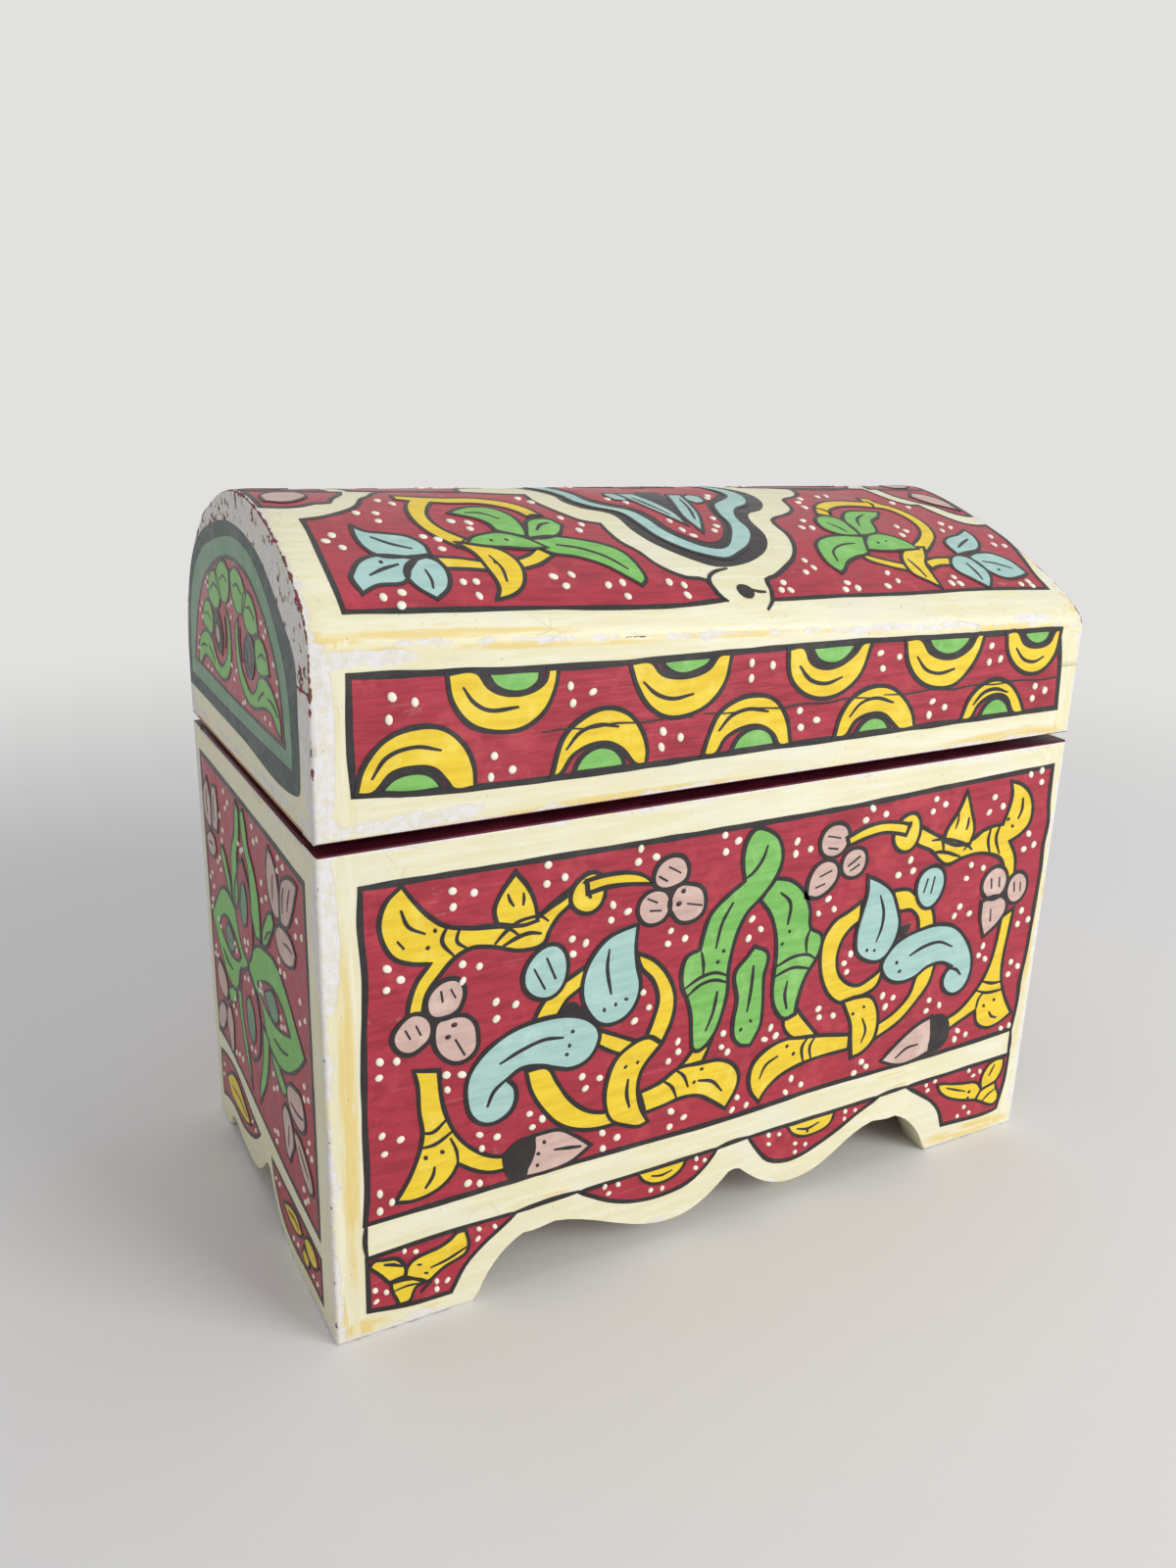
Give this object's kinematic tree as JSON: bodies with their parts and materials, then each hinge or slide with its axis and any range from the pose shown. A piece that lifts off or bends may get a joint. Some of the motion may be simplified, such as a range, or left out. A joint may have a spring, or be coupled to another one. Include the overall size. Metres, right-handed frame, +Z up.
{
  "type": "trinket chest",
  "caption": "Wooden trinket chest with a hinged dome lid of staves, painted folk ornament and scalloped feet.",
  "frame": {"origin": "middle of the chest's bounding box on the surface it stands on, hinge barrels included", "axes": "+Z up, +X to the right along the front, +Y from the front towards the hinges at the back"},
  "size_m": [0.22, 0.1178, 0.196],
  "materials": {
    "painted_wood": "hand-painted gloss enamel, worn at the edges",
    "bare_wood": "bare softwood",
    "brass": "dull brass",
    "steel": "plain wire"
  },
  "bodies": {
    "body": {"front_board": "painted_wood", "back_board": "painted_wood", "left_side_board": "painted_wood", "right_side_board": "painted_wood", "floor_board": "bare_wood", "front_brads": "steel", "back_brads": "steel", "left_hinge_body_leaf": "brass", "right_hinge_body_leaf": "brass", "left_hinge_pin": "steel", "right_hinge_pin": "steel", "body_leaf_screws": "brass"},
    "lid": {"lid_front_rail": "painted_wood", "lid_back_rail": "painted_wood", "lid_stave_1": "painted_wood", "lid_stave_2": "painted_wood", "lid_stave_3": "painted_wood", "lid_stave_4": "painted_wood", "lid_stave_5": "painted_wood", "lid_left_end": "painted_wood", "lid_right_end": "painted_wood", "lid_brads": "steel", "left_hinge_lid_leaf": "brass", "right_hinge_lid_leaf": "brass", "lid_leaf_screws": "brass"}
  },
  "joints": [
    {"name": "lid_hinge", "type": "hinge", "parent": "body", "child": "lid", "pos_m": [0, 0.05713, 0.1272], "axis": [-1, 0, 0], "range_deg": [0, 100]}
  ]
}
